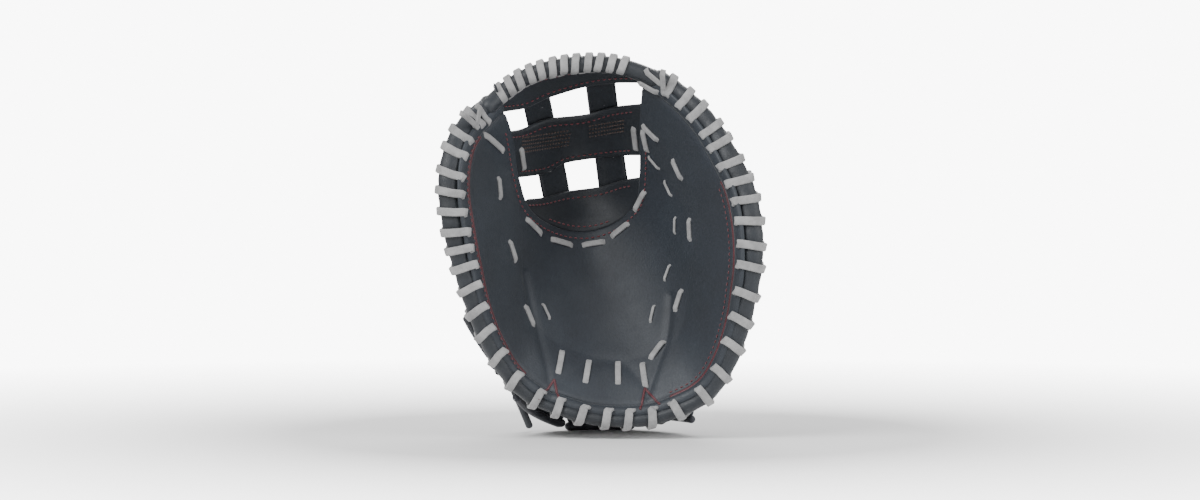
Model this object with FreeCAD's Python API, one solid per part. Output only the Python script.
import FreeCAD, Part
import math
import os

os.makedirs("parts", exist_ok=True)

V = FreeCAD.Vector

# ---------------------------------------------------------------- driving sizes, mm
# Working frame: X to the finger side, Y to the back of the hand, Z up, Z = 0 at the lowest point.
# Every shape is moved at export so the origin is the middle of the wrist opening.
MOUTH_X = 14.0
MOUTH_Y = 40.0
MOUTH_Z = 12.0

POCKET_X = -8.0
POCKET_Z = 183.0
POCKET_Y = 76.0
SPINE_Y = 98.0

PALM_SKIN = 3.0
PAD_THICK = 12.0
LINING = 1.6
SHELL_SKIN = 3.2
GAP = 0.6

LACE_D = 3.4
TAIL_D = 5.0
THONG_D = 6.0

# The rim of the mitt, seen from the pocket, going round from the web's thumb end: x, y, z.
RIM = [
    (-83.0, -9.0, 275.0), (-60.0, -8.0, 291.0), (-36.0, -8.0, 298.0), (-11.0, -8.0, 301.0),
    (12.0, -8.0, 300.0), (33.0, -9.0, 294.5), (55.0, -13.0, 283.0), (76.0, -24.0, 265.5),
    (90.0, -32.0, 249.5), (101.0, -39.0, 232.0), (110.5, -46.0, 214.0), (118.0, -52.0, 197.0),
    (123.0, -58.0, 173.0), (124.0, -60.0, 152.0), (122.5, -60.0, 131.0), (117.5, -56.0, 106.0),
    (110.5, -49.0, 80.0), (101.0, -42.0, 56.0), (86.0, -34.0, 34.0), (62.0, -28.0, 20.5),
    (38.0, -25.0, 13.5), (14.0, -24.0, 12.5), (-8.0, -24.0, 14.5), (-29.0, -23.0, 20.0),
    (-50.0, -21.0, 27.5), (-68.0, -23.0, 41.0), (-83.0, -32.0, 62.0), (-96.0, -43.0, 88.0),
    (-106.0, -52.0, 116.0), (-114.0, -58.0, 142.0), (-120.0, -61.0, 168.0), (-123.0, -60.0, 192.0),
    (-121.5, -55.0, 216.0), (-115.5, -46.0, 237.0), (-105.0, -33.0, 252.5), (-93.5, -19.0, 263.5),
]

# The fold between the thumb wing and the main body, a line in x and z.
FOLD_LOW = (-34.0, 35.0)
FOLD_HIGH = (-79.0, 276.0)
FOLD_Y = 0.0


# ---------------------------------------------------------------- surface model
def rim_table():
    rows = []
    for x, y, z in RIM:
        a = math.atan2(z - POCKET_Z, x - POCKET_X)
        rows.append((a, math.hypot(x - POCKET_X, z - POCKET_Z), y))
    rows.sort()
    first = rows[:3]
    last = rows[-3:]
    turn = 2.0 * math.pi
    low = [(a - turn, r, y) for a, r, y in last]
    high = [(a + turn, r, y) for a, r, y in first]
    return low + rows + high


RIM_ROWS = rim_table()


def rim_at(a):
    a = (a + math.pi) % (2.0 * math.pi) - math.pi
    k = 2
    while RIM_ROWS[k + 1][0] < a:
        k = k + 1
    a0, a1, a2, a3 = [RIM_ROWS[k + i][0] for i in (-1, 0, 1, 2)]
    out = []
    for c in (1, 2):
        p0, p1, p2, p3 = [RIM_ROWS[k + i][c] for i in (-1, 0, 1, 2)]
        m1 = (p2 - p0) / (a2 - a0)
        m2 = (p3 - p1) / (a3 - a1)
        h = a2 - a1
        t = (a - a1) / h
        v = (2 * t**3 - 3 * t**2 + 1) * p1 + (t**3 - 2 * t**2 + t) * h * m1
        v = v + (3 * t**2 - 2 * t**3) * p2 + (t**3 - t**2) * h * m2
        out.append(v)
    return out[0], out[1]


def polar(x, z):
    a = math.atan2(z - POCKET_Z, x - POCKET_X)
    d = math.hypot(x - POCKET_X, z - POCKET_Z)
    return a, d


def side_of(a):
    return math.cos(a) ** 2


def inner_reach(a):
    r, y = rim_at(a)
    return r - 11.0 - 7.0 * side_of(a)


def palm_lift(a, s):
    p = 1.2 + 0.6 * side_of(a)
    soft = 0.16
    return ((s * s + soft**2) ** (p / 2) - soft**p) / ((1 + soft**2) ** (p / 2) - soft**p)


def palm(x, z):
    a, d = polar(x, z)
    r, y = rim_at(a)
    return POCKET_Y - (POCKET_Y - y) * palm_lift(a, d / inner_reach(a))


def back_power(a):
    return 3.2 + 0.8 * max(0.0, -math.sin(a)) ** 2


def back(x, z):
    a, d = polar(x, z)
    r, y = rim_at(a)
    return SPINE_Y - (SPINE_Y - y - 6.0) * min(d / r, 1.0) ** back_power(a)


def palm_point(a, s):
    r = inner_reach(a) * s
    rim_r, rim_y = rim_at(a)
    y = POCKET_Y - (POCKET_Y - rim_y) * palm_lift(a, s)
    return V(POCKET_X + r * math.cos(a), y, POCKET_Z + r * math.sin(a))


def back_point(a, s):
    rim_r, rim_y = rim_at(a)
    reach = 1.0 - (1.0 - s) ** 1.8
    y = SPINE_Y - (SPINE_Y - rim_y - 6.0) * reach ** back_power(a)
    return V(POCKET_X + reach * rim_r * math.cos(a), y, POCKET_Z + reach * rim_r * math.sin(a))


def outward(point, a, s):
    h = 0.004
    da = point(a + h, s) - point(a - h, s)
    ds = point(a, s + h) - point(a, s - h) if s < 0.99 else point(a, s) - point(a, s - 2 * h)
    n = ds.cross(da)
    n.normalize()
    return n if n.y > 0 else n * -1.0


def offset_point(point, a, s, t):
    p = point(a, s)
    d = t(p.x, p.z) if callable(t) else t
    return p + outward(point, a, s) * d


# ---------------------------------------------------------------- shape helpers
def closed_solid(faces):
    shell = Part.makeShell(faces)
    shell.sewShape()
    solid = Part.Solid(shell)
    if solid.Volume < 0:
        solid.reverse()
    return solid


def grid_surface(rows):
    surface = Part.BSplineSurface()
    surface.interpolate(rows)
    return surface


def patch(point, near, far, a0, a1, s0, s1, na=30, ns=12):
    sheets = []
    for t in (near, far):
        rows = []
        for i in range(na + 1):
            a = a0 + (a1 - a0) * i / na
            rows.append([offset_point(point, a, s0 + (s1 - s0) * j / ns, t) for j in range(ns + 1)])
        sheets.append(grid_surface(rows))
    f, b = sheets
    u0, u1, v0, v1 = f.bounds()
    s_0, s_1, t_0, t_1 = b.bounds()
    pairs = [
        (f.uIso(u0), b.uIso(s_0)), (f.uIso(u1), b.uIso(s_1)),
        (f.vIso(v0), b.vIso(t_0)), (f.vIso(v1), b.vIso(t_1)),
    ]
    faces = [f.toShape(), b.toShape()]
    for c, d in pairs:
        faces.append(Part.makeRuledSurface(c.toShape(), d.toShape()))
    return closed_solid(faces)


def skin_tube(loops):
    rows = [loop + [loop[0]] for loop in loops]
    surface = grid_surface(rows)
    u0, u1, v0, v1 = surface.bounds()
    faces = [surface.toShape()]
    for u in (u0, u1):
        faces.append(Part.Face(Part.Wire(surface.uIso(u).toShape())))
    return closed_solid(faces)


def ellipse_points(centre, axis_a, axis_b, count=12):
    pts = []
    for k in range(count):
        f = 2 * math.pi * k / count
        pts.append(centre + axis_a * math.cos(f) + axis_b * math.sin(f))
    return pts


def tube(path, half_wide, half_thick=None, hint=None, count=10):
    half_thick = half_thick or half_wide
    loops = []
    side = hint or V(0.3, 0.2, 0.9)
    for k, p in enumerate(path):
        t = path[min(k + 1, len(path) - 1)] - path[max(k - 1, 0)]
        t.normalize()
        side = side - t * side.dot(t)
        side.normalize()
        loops.append(ellipse_points(p, side * half_wide, t.cross(side) * half_thick, count))
    return skin_tube(loops)


def prism(points):
    pts = [V(x, -160, z) for x, z in points]
    pts.append(pts[0])
    face = Part.Face(Part.makePolygon(pts))
    return face.extrude(V(0, 360, 0))


def fold_x(z):
    t = (z - FOLD_LOW[1]) / (FOLD_HIGH[1] - FOLD_LOW[1])
    return FOLD_LOW[0] + t * (FOLD_HIGH[0] - FOLD_LOW[0])


def side_of_fold(sign, gap):
    z0 = -60.0
    z1 = 360.0
    far = sign * 400.0
    near = sign * gap
    return prism([(fold_x(z0) + near, z0), (fold_x(z1) + near, z1), (far, z1), (far, z0)])


def cut_to(solid, keep, remove=()):
    out = solid
    for k in keep:
        out = out.common(k)
    for r in remove:
        out = out.cut(r)
    return clean(out)


def clean(shape):
    solids = [s for s in shape.Solids if s.Volume > 20.0]
    solids.sort(key=lambda s: -s.Volume)
    return solids[0] if solids else shape


def long_tube(path, radius, piece=30):
    out = []
    k = 0
    while k < len(path) - 1:
        end = min(k + piece, len(path) - 1)
        if len(path) - 1 - end < 6:
            end = len(path) - 1
        out.append(tube(path[k:end + 1], radius, count=8))
        k = end
    return Part.makeCompound(out)


def write(name, shape):
    out = shape.copy()
    out.translate(V(-MOUTH_X, -MOUTH_Y, -MOUTH_Z))
    out.exportStep("parts/" + name + ".step")
    b = out.BoundBox
    print("%-26s %6.0f %6.0f %6.0f  solids %d valid %s vol %.0f" % (
        name, b.XLength, b.YLength, b.ZLength, len(out.Solids), out.isValid(), out.Volume))


# ---------------------------------------------------------------- outlines in x and z
WEB_ZONE = [
    (-79.0, 274.0), (-70.0, 240.0), (-62.0, 195.0), (-54.0, 178.0), (-38.0, 166.0), (-15.0, 161.0),
    (6.0, 165.0), (22.0, 177.0), (30.0, 192.0), (31.0, 240.0), (34.0, 330.0), (-79.0, 330.0),
]
HAND_HOLE = [(4.0, 122.0), (24.0, 106.0), (44.0, 84.0), (64.0, 58.0), (8.0, 62.0), (-2.0, 92.0)]
SHELL_FLOOR = [(-160.0, 63.0), (160.0, 63.0), (160.0, -40.0), (-160.0, -40.0)]
SHELL_FLOOR_FINGER = [
    (-160.0, 60.0), (66.0, 60.0), (84.0, 30.0), (160.0, 30.0), (160.0, -40.0), (-160.0, -40.0),
]

# Back-of-wrist wall in plan, from the thumb rim round to the little-finger rim: x, y.
WRIST = [
    (-66.0, -10.0), (-61.0, 12.0), (-54.0, 34.0), (-42.0, 55.0), (-24.0, 71.0), (-6.0, 79.0),
    (12.0, 81.0), (30.0, 75.0), (47.0, 60.0), (60.0, 42.0), (70.0, 22.0), (78.0, 2.0),
]

web_prism = prism(WEB_ZONE)
web_reach = prism([
    (-82.0, 276.0), (-72.0, 240.0), (-64.0, 193.0), (-55.0, 176.0), (-38.0, 163.5), (-15.0, 158.5),
    (8.0, 162.5), (24.0, 175.0), (32.5, 191.0), (33.5, 240.0), (37.0, 330.0), (-82.0, 330.0),
])
thumb_half = side_of_fold(-1.0, 0.6)
main_half = side_of_fold(1.0, 0.6)

# The two notches in the heel edge where the palm folds.
notch_thumb = prism([(-40.9, 72.0), (-50.0, 4.0), (-24.0, 4.0)])
notch_finger = prism([(36.0, 36.0), (33.0, 2.0), (50.0, 2.0)])

# ---------------------------------------------------------------- palm: skin, pads, lining
def deg(a):
    return a * math.pi / 180.0


MAIN_FROM, MAIN_TO = deg(-190.0), deg(76.0)
WING_FROM, WING_TO = deg(112.0), deg(266.0)


def layer(point, near, far, wing, s1, s0=0.06):
    a0, a1 = (WING_FROM, WING_TO) if wing else (MAIN_FROM, MAIN_TO)
    return patch(point, near, far, a0, a1, s0, s1)


pad_near = PALM_SKIN + GAP
pad_far = pad_near + PAD_THICK
line_near = pad_far + GAP
line_far = line_near + LINING
heel_split = prism([(-60.0, 96.0), (150.0, 40.0), (150.0, -40.0), (-60.0, -40.0)])
heel_gap = prism([(-60.0, 97.2), (150.0, 41.2), (150.0, 40.0), (-60.0, 96.0)])
palm_rim = 0.975
pad_rim = 0.9
line_rim = 0.82
skin_main = layer(palm_point, 0.0, PALM_SKIN, False, palm_rim)
skin_wing = layer(palm_point, 0.0, PALM_SKIN, True, palm_rim)
palm_leather = cut_to(skin_main, [main_half], [web_prism, notch_thumb, notch_finger])
thumb_palm_leather = cut_to(skin_wing, [thumb_half], [web_prism, notch_thumb])
pad_main = layer(palm_point, pad_near, pad_far, False, pad_rim)
pad_wing = layer(palm_point, pad_near, pad_far, True, pad_rim)
finger_pad = cut_to(pad_main, [main_half], [web_prism, heel_split, heel_gap])
heel_pad = cut_to(pad_main, [main_half, heel_split], [notch_thumb, notch_finger])
thumb_pad = cut_to(pad_wing, [thumb_half], [web_prism, notch_thumb])
line_main = layer(palm_point, line_near, line_far, False, line_rim)
line_wing = layer(palm_point, line_near, line_far, True, line_rim)
palm_lining = cut_to(line_main, [main_half], [web_reach, notch_thumb, notch_finger])
thumb_lining = cut_to(line_wing, [thumb_half], [web_reach, notch_thumb])

for name, shape in [
    ("palm_leather", palm_leather), ("thumb_palm_leather", thumb_palm_leather),
    ("finger_pad", finger_pad), ("heel_pad", heel_pad), ("thumb_pad", thumb_pad),
    ("palm_lining", palm_lining), ("thumb_lining", thumb_lining),
]:
    write(name, shape)

# ---------------------------------------------------------------- back shells
hole = prism(HAND_HOLE)
web_gap = prism([
    (-90.0, 340.0), (-84.0, 262.0), (-62.0, 214.0), (-54.0, 176.0), (-30.0, 158.0),
    (8.0, 158.0), (24.0, 172.0), (34.0, 206.0), (40.0, 262.0), (44.0, 340.0),
])
left_side = prism([(-0.8, 60.0), (-0.8, 400.0), (-200.0, 400.0), (-200.0, 60.0)])
right_side = prism([(0.8, -60.0), (0.8, 400.0), (200.0, 400.0), (200.0, -60.0)])
shell_rim = 0.86
shell_main = layer(back_point, -SHELL_SKIN, 0.0, False, shell_rim, 0.02)
shell_wing = layer(back_point, -SHELL_SKIN, 0.0, True, shell_rim, 0.02)
finger_shell = cut_to(shell_main, [right_side], [web_gap, hole, prism(SHELL_FLOOR_FINGER)])
thumb_shell = cut_to(shell_wing, [left_side], [web_gap, hole, prism(SHELL_FLOOR)])
write("finger_shell", finger_shell)
write("thumb_shell", thumb_shell)

# Raised covers of the stalls: a centre line, half widths at both ends, and how far they stand out.
COVERS = {
    "index_finger_cover": [(54.0, 246.0), (34.0, 152.0), 13.0, 13.0, 6.0],
    "middle_finger_cover": [(80.0, 222.0), (47.0, 122.0), 12.5, 10.0, 6.0],
    "ring_finger_cover": [(96.0, 194.0), (67.0, 110.0), 9.0, 9.0, 5.0],
    "little_finger_cover": [(103.5, 158.0), (82.0, 88.0), 7.0, 8.0, 4.5],
    "thumb_cover": [(-94.0, 184.0), (-79.0, 122.0), 15.0, 17.0, 5.0],
}


def cover_outline(a, b, wa, wb, step=10):
    ux, uz = b[0] - a[0], b[1] - a[1]
    n = math.hypot(ux, uz)
    ux, uz = ux / n, uz / n
    turn = math.atan2(uz, ux)
    pts = []
    for k in range(step + 1):
        f = turn + math.pi / 2 + math.pi * k / step
        pts.append((a[0] + wa * math.cos(f), a[1] + wa * math.sin(f)))
    for k in range(step + 1):
        f = turn - math.pi / 2 + math.pi * k / step
        pts.append((b[0] + wb * math.cos(f), b[1] + wb * math.sin(f)))
    return pts


def cover_height(a, b, wa, wb, rise):
    ux, uz = b[0] - a[0], b[1] - a[1]
    n2 = ux * ux + uz * uz

    def height(x, z):
        t = ((x - a[0]) * ux + (z - a[1]) * uz) / n2
        t = min(1.0, max(0.0, t))
        w = wa + t * (wb - wa)
        d = math.hypot(x - a[0] - t * ux, z - a[1] - t * uz) / w
        return 1.2 + rise * max(0.0, 1.0 - d * d)

    return height


for name, (a, b, wa, wb, rise) in COVERS.items():
    outline = cover_outline(a, b, wa - 0.8, wb - 0.8)
    if a[0] > 0:
        a0, a1 = deg(-70.0), deg(60.0)
    else:
        a0, a1 = deg(150.0), deg(250.0)
    body = patch(back_point, 0.35, cover_height(a, b, wa, wb, rise), a0, a1, 0.12, 0.86, 60, 26)
    write(name, cut_to(body, [prism(outline)]))


# Walls between the stalls, inside the hand space, each a flat plate between lining and shell.
def wall(a, b, thick=2.0, steps=10):
    front = []
    rear = []
    for k in range(steps + 1):
        t = k / steps
        x = a[0] + t * (b[0] - a[0])
        z = a[1] + t * (b[1] - a[1])
        front.append(V(x, palm(x, z) + 18.4 * steep(palm, x, z), z))
        rear.append(V(x, back(x, z) - 5.0 * steep(back, x, z), z))
    ux, uz = b[0] - a[0], b[1] - a[1]
    n = math.hypot(ux, uz)
    ox, oz = -uz / n * thick, ux / n * thick
    ring = front + rear[::-1] + [front[0]]
    return Part.Face(Part.makePolygon(ring)).extrude(V(ox, 0, oz))


def steep(field, x, z, h=1.0):
    fx = (field(x + h, z) - field(x - h, z)) / (2 * h)
    fz = (field(x, z + h) - field(x, z - h)) / (2 * h)
    return math.sqrt(1.0 + fx * fx + fz * fz)


write("index_middle_wall", wall((62.0, 226.0), (40.0, 142.0)))
write("middle_ring_wall", wall((84.0, 206.0), (56.0, 122.0)))
write("ring_little_wall", wall((93.0, 176.0), (72.0, 106.0)))


# ---------------------------------------------------------------- rim binding and rim lace
def binding_centre(a):
    r, y = rim_at(a)
    side = math.cos(a) ** 2
    rr = r - 5.6 - 3.0 * side
    return rr, y + 4.0, 5.5 + 2.6 * side, 9.5 - 3.4 * side


def binding(a0, a1, count):
    loops = []
    for k in range(count + 1):
        a = a0 + (a1 - a0) * k / count
        rr, y, ra, ya = binding_centre(a)
        out = V(math.cos(a), 0, math.sin(a))
        c = V(POCKET_X, y, POCKET_Z) + out * rr
        loops.append(ellipse_points(c, out * ra, V(0, ya, 0)))
    return skin_tube(loops)


def binding_lace(a0, a1, turns, per_turn=14):
    pts = []
    total = turns * per_turn
    grow = LACE_D / 2 + 0.5
    for k in range(total + 1):
        a = a0 + (a1 - a0) * k / total
        f = 2 * math.pi * k / per_turn
        rr, y, ra, ya = binding_centre(a)
        r = rr + (ra + grow) * math.cos(f)
        pts.append(V(POCKET_X + r * math.cos(a), y + (ya + grow) * math.sin(f), POCKET_Z + r * math.sin(a)))
    return long_tube(pts, LACE_D / 2)


def angle_of(x, z):
    return math.atan2(z - POCKET_Z, x - POCKET_X)


thumb_top = angle_of(-92.0, 268.0)
thumb_low = angle_of(-54.0, 20.0) + 2 * math.pi
heel_start = angle_of(-28.0, 14.0)
heel_end = angle_of(33.0, 10.0)
finger_start = angle_of(43.0, 10.0)
finger_top = angle_of(50.0, 290.0)


write("thumb_rim_binding", binding(thumb_top, thumb_low, 22))
write("heel_rim_binding", binding(heel_start, heel_end, 6))
write("finger_rim_binding", binding(finger_start, finger_top, 26))
write("thumb_rim_lace", binding_lace(thumb_top + 0.02, thumb_low - 0.02, 15))
rim_lace = [
    binding_lace(heel_start + 0.02, heel_end - 0.02, 3),
    binding_lace(finger_start + 0.02, finger_top - 0.02, 19),
]
write("rim_lace", Part.makeCompound(rim_lace))

# ---------------------------------------------------------------- web
WEB_TOP_FROM, WEB_TOP_TO = angle_of(-80.0, 274.0), angle_of(27.0, 294.0)


def web_bulge(x, z):
    up = min(1.0, max(0.0, (z - 172.0) / 126.0))
    across = max(0.0, 1.0 - ((x + 20.0) / 56.0) ** 2)
    return 15.0 * math.sin(math.pi * up) * across


def web_point(x, z, t):
    h = 1.0
    fx = (palm(x + h, z) - palm(x - h, z)) / (2 * h)
    fz = (palm(x, z + h) - palm(x, z - h)) / (2 * h)
    n = V(-fx, 1.0, -fz)
    n.normalize()
    return V(x, palm(x, z) + web_bulge(x, z), z) + n * t


def tongue_point(x, z, t):
    lean = 0.95 * max(0.0, z - 204.0)
    n = V((x + 8.0) * 0.008, 1.0, 0.15)
    n.normalize()
    return V(x, back(x, z) - lean, z) + n * t


def sheet(point, near, far, box, count=20):
    x0, x1, z0, z1 = box
    grids = []
    for t in (near, far):
        rows = []
        for i in range(count + 1):
            x = x0 + (x1 - x0) * i / count
            rows.append([point(x, z0 + (z1 - z0) * j / count, t) for j in range(count + 1)])
        grids.append(grid_surface(rows))
    f, b = grids
    u0, u1, v0, v1 = f.bounds()
    p0, p1, q0, q1 = b.bounds()
    faces = [f.toShape(), b.toShape()]
    pairs = [
        (f.uIso(u0), b.uIso(p0)), (f.uIso(u1), b.uIso(p1)),
        (f.vIso(v0), b.vIso(q0)), (f.vIso(v1), b.vIso(q1)),
    ]
    for c, d in pairs:
        faces.append(Part.makeRuledSurface(c.toShape(), d.toShape()))
    return closed_solid(faces)


WEB_BOX = (-92.0, 44.0, 146.0, 296.0)
band_stock = sheet(web_point, 1.5, 5.5, WEB_BOX)
strap_stock = sheet(web_point, 6.1, 9.3, WEB_BOX)
web_inside = prism([
    (-73.2, 257.0), (-68.8, 240.0), (-60.8, 195.0), (-53.2, 178.9), (-37.6, 167.2), (-15.0, 162.2),
    (5.6, 166.2), (21.0, 177.8), (28.8, 192.3), (29.8, 240.0), (32.0, 278.0), (12.0, 284.0),
    (-11.0, 285.5), (-36.0, 280.0), (-60.0, 266.0),
])
BANDS = {
    "web_upper_band": [
        (-80, 255), (-58, 258), (-40, 266), (-12, 274), (10, 277), (36, 277), (36, 292), (-80, 292),
    ],
    "web_middle_band": [
        (-78, 237), (-58, 240), (-40, 247), (-12, 250), (10, 256), (36, 259),
        (36, 222), (18, 222), (-2, 220), (-27, 216), (-45, 208), (-78, 205),
    ],
    "web_lower_band": [
        (-70, 186), (-45, 187), (-27, 191), (-2, 194), (18, 200), (36, 203), (36, 150), (-70, 150),
    ],
}
for name, ring in BANDS.items():
    write(name, cut_to(band_stock, [web_inside, prism(ring)]))
UPRIGHTS = {
    "web_thumb_upright": [(-60, 276), (-43, 280), (-21, 185), (-37, 183)],
    "web_finger_upright": [(-11, 284), (8, 284), (18, 190), (0, 186)],
}
for name, ring in UPRIGHTS.items():
    write(name, cut_to(strap_stock, [web_inside, prism(ring)]))

tongue = sheet(tongue_point, -2.0, 2.0, (-60.0, 36.0, 150.0, 236.0))
tongue_ring = [
    (-50.5, 194), (-51, 190), (-46, 176), (-28, 161.5), (-8, 159.5), (8, 161.5), (22, 175), (30, 194),
]
write("web_base", cut_to(tongue, [prism(tongue_ring)]))


def roll_centre(a):
    r, y = rim_at(a)
    return V(POCKET_X + (r - 9.0) * math.cos(a), y + 2.0, POCKET_Z + (r - 9.0) * math.sin(a))


def roll(a0, a1, count=16):
    loops = []
    for k in range(count + 1):
        a = a0 + (a1 - a0) * k / count
        loops.append(ellipse_points(roll_centre(a), V(math.cos(a), 0, math.sin(a)) * 6.6, V(0, 6.6, 0)))
    return skin_tube(loops)


def roll_lace(a0, a1, turns, per_turn=14):
    pts = []
    total = turns * per_turn
    grow = 6.6 + LACE_D / 2 + 0.5
    for k in range(total + 1):
        a = a0 + (a1 - a0) * k / total
        f = 2 * math.pi * k / per_turn
        out = V(math.cos(a), 0, math.sin(a))
        pts.append(roll_centre(a) + out * (grow * math.cos(f)) + V(0, grow * math.sin(f), 0))
    return long_tube(pts, LACE_D / 2)


write("web_top_roll", roll(WEB_TOP_FROM, WEB_TOP_TO))
write("web_roll_lace", roll_lace(WEB_TOP_FROM - 0.03, WEB_TOP_TO + 0.03, 11))


# ---------------------------------------------------------------- wrist: walls, strap, patches
def wrist_point(u, z, t):
    k = min(max(int(u), 0), len(WRIST) - 2)
    f = u - k
    p = [WRIST[min(max(k + i, 0), len(WRIST) - 1)] for i in (-1, 0, 1, 2)]
    xy = []
    dv = []
    for c in (0, 1):
        m1 = (p[2][c] - p[0][c]) / 2
        m2 = (p[3][c] - p[1][c]) / 2
        a = 2 * p[1][c] - 2 * p[2][c] + m1 + m2
        b = -3 * p[1][c] + 3 * p[2][c] - 2 * m1 - m2
        xy.append(a * f**3 + b * f**2 + m1 * f + p[1][c])
        dv.append(3 * a * f**2 + 2 * b * f + m1)
    n = math.hypot(dv[0], dv[1])
    return V(xy[0] - dv[1] / n * t, xy[1] + dv[0] / n * t, z)


def wrist_piece(u0, u1, low, high, near, far, count=14):
    grids = []
    for t in (near, far):
        rows = []
        for i in range(count + 1):
            u = u0 + (u1 - u0) * i / count
            z0 = low(u) if callable(low) else low
            z1 = high(u) if callable(high) else high
            rows.append([wrist_point(u, z0 + (z1 - z0) * j / 6, t) for j in range(7)])
        grids.append(grid_surface(rows))
    f, b = grids
    u0, u1, v0, v1 = f.bounds()
    faces = [f.toShape(), b.toShape()]
    pairs = [
        (f.uIso(u0), b.uIso(u0)), (f.uIso(u1), b.uIso(u1)),
        (f.vIso(v0), b.vIso(v0)), (f.vIso(v1), b.vIso(v1)),
    ]
    for c, d in pairs:
        faces.append(Part.makeRuledSurface(c.toShape(), d.toShape()))
    return closed_solid(faces)


def wrist_edge(u0, u1, z, radius, t=0.0, count=20):
    pts = []
    for i in range(count + 1):
        u = u0 + (u1 - u0) * i / count
        pts.append(wrist_point(u, z(u) if callable(z) else z, t))
    return tube(pts, radius, hint=V(0, 0, 1))


HINGE_U = 9.15
HINGE = wrist_point(HINGE_U, 30.0, 4.6)
print("strap hinge", HINGE - V(MOUTH_X, MOUTH_Y, MOUTH_Z))
print("fold low", V(FOLD_LOW[0], FOLD_Y, FOLD_LOW[1]) - V(MOUTH_X, MOUTH_Y, MOUTH_Z))
print("fold high", V(FOLD_HIGH[0], FOLD_Y, FOLD_HIGH[1]) - V(MOUTH_X, MOUTH_Y, MOUTH_Z))


def thumb_wall_low(u):
    return 42.0 - 8.0 * min(u, 3.5)


write("thumb_wrist_wall", wrist_piece(0.25, 3.75, thumb_wall_low, 61.8, -1.6, 1.6))
write("wrist_panel", wrist_piece(3.95, 6.7, 11.0, 58.0, -1.6, 1.6))
write("cuff_roll", Part.makeCompound([wrist_edge(3.95, 6.7, 6.8, 3.4), wrist_edge(8.75, 10.8, 16.0, 3.2)]))
write("anchor_panel", wrist_piece(8.7, 10.2, 20.0, 47.0, -1.6, 1.6))
write("loop_patch", wrist_piece(5.2, 6.55, 16.0, 52.0, 2.0, 3.2))
write("hook_patch", wrist_piece(5.75, 6.5, 20.0, 48.0, 3.5, 4.5))
write("wrist_strap", wrist_piece(5.65, 9.1, 15.0, 51.0, 4.8, 7.6))
write("strap_pad", wrist_piece(6.95, 8.45, 13.0, 57.0, -4.4, 4.3))
write("strap_badge", wrist_piece(6.1, 6.9, 25.0, 41.0, 8.0, 9.4))

HOLE_MAIN = [(11.6, 111.0), (21.5, 102.5), (32.0, 91.0), (41.0, 81.0), (50.0, 70.0)]
HOLE_THUMB = [(-6.0, 117.0), (-7.0, 104.0), (-6.8, 92.0), (-4.4, 80.0), (-1.6, 70.5)]


def on_back(points, lift):
    return [V(x, back(x, z) + lift, z) for x, z in points]


hole_upper = tube(on_back([(x - 2.6, z - 4.2) for x, z in HOLE_MAIN], -1.5), 3.0)
write("hole_binding", Part.makeCompound([hole_upper, wrist_edge(4.35, 6.7, 61.6, 2.8)]))
hole_side = tube(on_back(HOLE_THUMB, 4.6), 3.0)
wall_side = wrist_edge(0.4, 3.65, lambda u: thumb_wall_low(u) - 4.2, 3.4)
write("thumb_edge_roll", Part.makeCompound([hole_side, wall_side]))

badge = patch(back_point, 0.5, 2.2, deg(215.0), deg(262.0), 0.15, 0.8, 20, 12)
write("emblem_patch", cut_to(badge, [prism([(-38, 102), (-60, 111), (-67, 87), (-55, 67.5), (-37, 76)])]))


# ---------------------------------------------------------------- ties, knots and hanging laces
def stitch_on(field, lift, x, z, turn, half=6.0):
    pts = []
    for k in range(5):
        f = (k - 2) / 2.0
        px = x + half * f * math.cos(turn)
        pz = z + half * f * math.sin(turn)
        pts.append(V(px, field(px, pz) + lift * steep(field, px, pz), pz))
    return tube(pts, 1.5, count=8)


def ties(field, lift, places):
    out = []
    for x, z, turn in places:
        out.append(stitch_on(field, lift, x, z, deg(turn)))
    return out


PALM_TIES = [
    (44, 71, 55), (61, 109, 72), (70, 164, 92), (61, 211, 115), (40, 240, 135), (-10, 54, 80), (14, 53, 90),
    (34, 52, 97), (-31, 61, 80), (41, 98, 75), (53, 130, 70), (59, 167, 90), (53, 196, 115), (42, 216, 130),
]
THUMB_TIES = [(-82, 231, 135), (-80, 196, 95), (-69, 147, 108), (-55, 97, 115)]
BACK_TIES = [(94, 128, 75), (62, 254, 140), (92, 214, 125), (108, 184, 100)]
THUMB_BACK_TIES = [(-107, 196, 80), (-98, 148, 100)]
write("tie_lace", Part.makeCompound(ties(palm, -2.1, PALM_TIES) + ties(back, 2.1, BACK_TIES)))
write("thumb_tie_lace", Part.makeCompound(ties(palm, -2.1, THUMB_TIES) + ties(back, 2.1, THUMB_BACK_TIES)))

KNOTS = {
    "base_knot": (-1.0, 107.0, 178.0, 6.5),
    "index_tip_knot": (48.0, 34.0, 278.0, 6.0),
    "thumb_tip_knot": (-104.0, 21.0, 230.0, 6.0),
    "little_side_knot": (106.0, -2.0, 84.0, 6.0),
    "finger_thong_knot": (96.0, 14.0, 66.0, 8.0),
    "thumb_thong_knot": (-79.0, 20.0, 58.0, 8.0),
}
for name, (x, y, z, r) in KNOTS.items():
    write(name, Part.makeSphere(r, V(x, y, z)))

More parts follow.
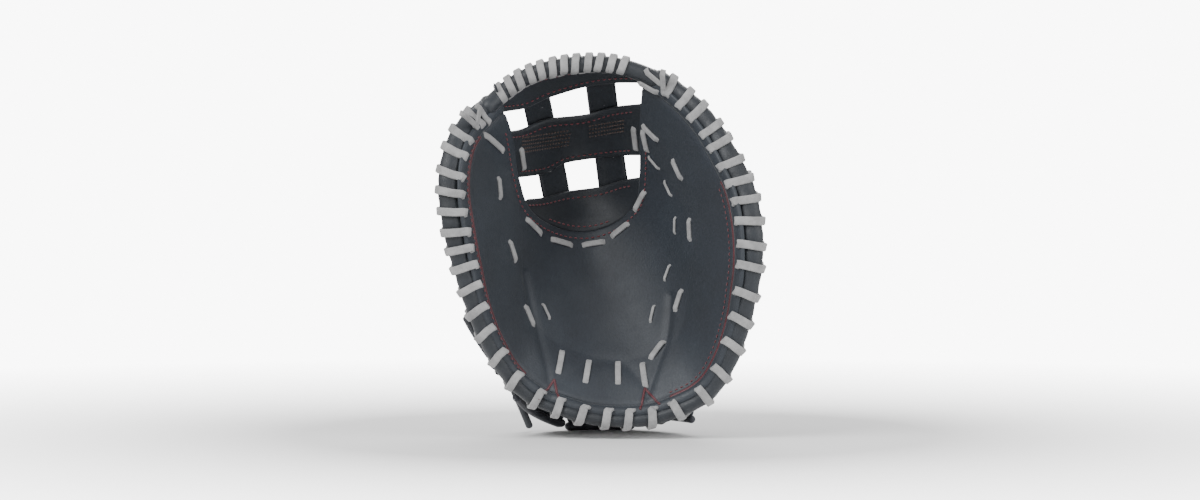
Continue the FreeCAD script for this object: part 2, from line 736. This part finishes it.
CORDS = {
    "base_tail_low": (TAIL_D, [(4.0, 112.0, 172.0), (10.0, 111.0, 156.0), (13.0, 107.0, 138.0)]),
    "base_tail_side": (TAIL_D, [(-8.0, 112.5, 174.0), (-22.0, 116.0, 165.0), (-38.0, 113.5, 152.0)]),
    "thumb_tip_tail": (TAIL_D, [(-101.0, 29.0, 225.0), (-92.0, 52.0, 210.0), (-80.0, 76.0, 194.0)]),
    "index_tip_tail": (TAIL_D, [(47.0, 42.0, 272.0), (49.0, 67.0, 256.0), (51.5, 78.0, 240.0)]),
    "little_side_tail": (TAIL_D, [(104.8, -3.5, 76.5), (92.0, -2.0, 47.0), (62.0, -1.0, 18.0)]),
    "finger_thong_upper": (THONG_D, [(100.0, 16.0, 76.0), (108.0, 10.0, 100.0), (118.0, -6.0, 130.0)]),
    "finger_thong_lower": (THONG_D, [(92.0, 22.0, 60.0), (86.0, 34.0, 46.0), (82.0, 40.0, 28.0)]),
    "thumb_thong_upper": (THONG_D, [(-86.0, 12.0, 66.0), (-94.0, 0.0, 78.0), (-103.0, -12.0, 96.0)]),
    "thumb_thong_lower": (THONG_D, [(-74.0, 28.0, 51.0), (-65.0, 46.0, 32.0), (-56.0, 58.0, 8.0)]),
}


def cord_path(points, print_name):
    pts = [V(*p) for p in points]
    out = [pts[0]]
    radii = []
    for k in range(1, len(pts) - 1):
        a, b, c = pts[k - 1], pts[k], pts[k + 1]
        ab = a - b
        cb = c - b
        run = 0.45 * min(ab.Length, cb.Length)
        u = ab / ab.Length
        w = cb / cb.Length
        half = math.acos(max(-1.0, min(1.0, -u.dot(w)))) / 2
        radii.append(run / math.tan(half))
        for j in range(9):
            t = j / 8.0
            out.append((b + u * run) * (1 - t) ** 2 + b * (2 * t * (1 - t)) + (b + w * run) * t**2)
    out.append(pts[-1])
    length = sum((q - p).Length for p, q in zip(out, out[1:]))
    print("%-20s length %.1f bend radii %s" % (print_name, length, [round(r, 1) for r in radii]))
    return out


for name, (d, points) in CORDS.items():
    write(name, tube(cord_path(points, name), d / 2))
